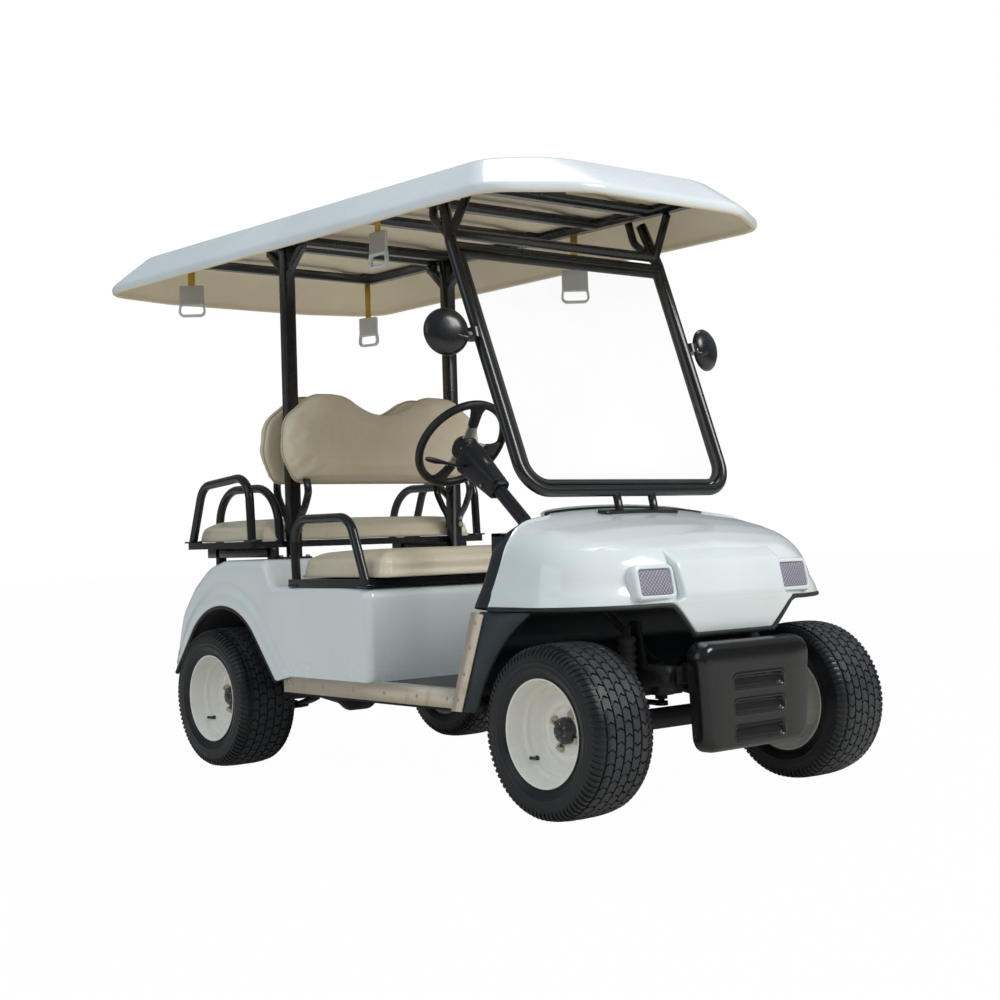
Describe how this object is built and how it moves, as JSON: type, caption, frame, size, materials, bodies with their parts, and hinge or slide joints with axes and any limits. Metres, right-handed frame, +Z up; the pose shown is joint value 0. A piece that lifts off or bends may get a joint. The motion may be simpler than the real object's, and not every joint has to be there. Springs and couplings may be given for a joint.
{
  "type": "golf cart",
  "caption": "Open electric cart with a roof, a front bench and a rear bench that faces back, steered front wheels and a windscreen in a tube frame.",
  "frame": {"origin": "on the ground under the middle of the cart's outer box", "axes": "+Z up, -Y the way the cart drives, +X the cart's left side"},
  "size_m": [1.2068, 2.6273, 1.8021],
  "materials": {
    "frame_black": "black chassis paint, satin",
    "rubber_black": "black rubber, matt",
    "floor_mat": "ribbed black rubber mat over a painted floor",
    "aluminium": "mill aluminium, lightly scratched",
    "battery_case": "moulded case",
    "motor_case": "painted casting",
    "column_black": "moulded shroud and painted tube",
    "wheel_black": "soft moulded rim, grained",
    "body_white": "glossy cool white moulded panel",
    "lens": "pebbled clear lens with a violet cast",
    "bumper_black": "glossy black moulding",
    "liner_grey": "grained dark grey moulding",
    "tube_black": "black powder coat, semi gloss",
    "vinyl_beige": "grained beige vinyl",
    "clear_screen": "clear acrylic sheet",
    "roof_white": "white moulded roof with a cream underside",
    "webbing_yellow": "yellow woven webbing",
    "handle_clear": "translucent moulded handle",
    "tyre_rubber": "black tyre rubber",
    "rim_white": "gloss white paint"
  },
  "bodies": {
    "cart": {"chassis_rails": "frame_black", "chassis_crossmembers": "frame_black", "front_axle": "frame_black", "rear_axle": "frame_black", "rear_suspension": "frame_black", "front_suspension": "rubber_black", "edge_trim": "rubber_black", "windshield_seal": "rubber_black", "floor_pan": "floor_mat", "sill_trim": "aluminium", "battery_pack": "battery_case", "drive_motor": "motor_case", "steering_column": "column_black", "pedals": "column_black", "front_cowl": "body_white", "rear_body": "body_white", "headlamps": "lens", "front_bumper": "bumper_black", "front_liner": "liner_grey", "dashboard": "liner_grey", "front_seat_frame": "tube_black", "rear_seat_frame": "tube_black", "backrest_brackets": "tube_black", "rear_uprights": "tube_black", "windshield_frame": "tube_black", "roof_frame": "tube_black", "mirrors": "tube_black", "front_seat_cushion": "vinyl_beige", "rear_seat_cushion": "vinyl_beige", "front_backrest": "vinyl_beige", "rear_backrest": "vinyl_beige", "windshield_pane": "clear_screen", "roof_canopy": "roof_white", "strap_webbing": "webbing_yellow", "strap_handles": "handle_clear"},
    "steering_wheel": {"steering_wheel": "wheel_black"},
    "pitman_arm": {"pitman_arm": "frame_black"},
    "tie_rod": {"tie_rod": "frame_black"},
    "knuckle_left": {"knuckle_left": "frame_black"},
    "knuckle_right": {"knuckle_right": "frame_black"},
    "wheel_front_left": {"tyre_front_left": "tyre_rubber", "rim_front_left": "rim_white"},
    "wheel_front_right": {"tyre_front_right": "tyre_rubber", "rim_front_right": "rim_white"},
    "wheel_rear_left": {"tyre_rear_left": "tyre_rubber", "rim_rear_left": "rim_white"},
    "wheel_rear_right": {"tyre_rear_right": "tyre_rubber", "rim_rear_right": "rim_white"}
  },
  "joints": [
    {"name": "steering_wheel_turn", "type": "hinge", "parent": "cart", "child": "steering_wheel", "pos_m": [-0.24, -0.365, 1.02], "axis": [0.0287, 0.7749, 0.6314], "range_deg": [-420, 420]},
    {"name": "pitman_arm_swing", "type": "hinge", "parent": "cart", "child": "pitman_arm", "pos_m": [-0.125, -1.065, 0.27], "axis": [0, 0, 1], "range_deg": [-28, 28]},
    {"name": "knuckle_left_steer", "type": "hinge", "parent": "cart", "child": "knuckle_left", "pos_m": [0.38, -1.065, 0.23], "axis": [0, 0, 1], "range_deg": [-28, 28]},
    {"name": "knuckle_right_steer", "type": "hinge", "parent": "cart", "child": "knuckle_right", "pos_m": [-0.38, -1.065, 0.23], "axis": [0, 0, 1], "range_deg": [-28, 28]},
    {"name": "tie_rod_pivot", "type": "hinge", "parent": "knuckle_right", "child": "tie_rod", "pos_m": [-0.38, -0.975, 0.21], "axis": [0, 0, 1], "range_deg": [-28, 28]},
    {"name": "wheel_front_left_spin", "type": "hinge", "parent": "knuckle_left", "child": "wheel_front_left", "pos_m": [0.47, -1.065, 0.23], "axis": [1, 0, 0], "continuous": true},
    {"name": "wheel_front_right_spin", "type": "hinge", "parent": "knuckle_right", "child": "wheel_front_right", "pos_m": [-0.47, -1.065, 0.23], "axis": [1, 0, 0], "continuous": true},
    {"name": "wheel_rear_left_spin", "type": "hinge", "parent": "cart", "child": "wheel_rear_left", "pos_m": [0.485, 0.585, 0.23], "axis": [1, 0, 0], "continuous": true},
    {"name": "wheel_rear_right_spin", "type": "hinge", "parent": "cart", "child": "wheel_rear_right", "pos_m": [-0.485, 0.585, 0.23], "axis": [1, 0, 0], "continuous": true}
  ],
  "couplings": [
    {"joint": "pitman_arm_swing", "follows": "steering_wheel_turn", "ratio": 0.066667},
    {"joint": "knuckle_left_steer", "follows": "steering_wheel_turn", "ratio": 0.066667},
    {"joint": "knuckle_right_steer", "follows": "steering_wheel_turn", "ratio": 0.066667},
    {"joint": "tie_rod_pivot", "follows": "steering_wheel_turn", "ratio": -0.066667}
  ]
}
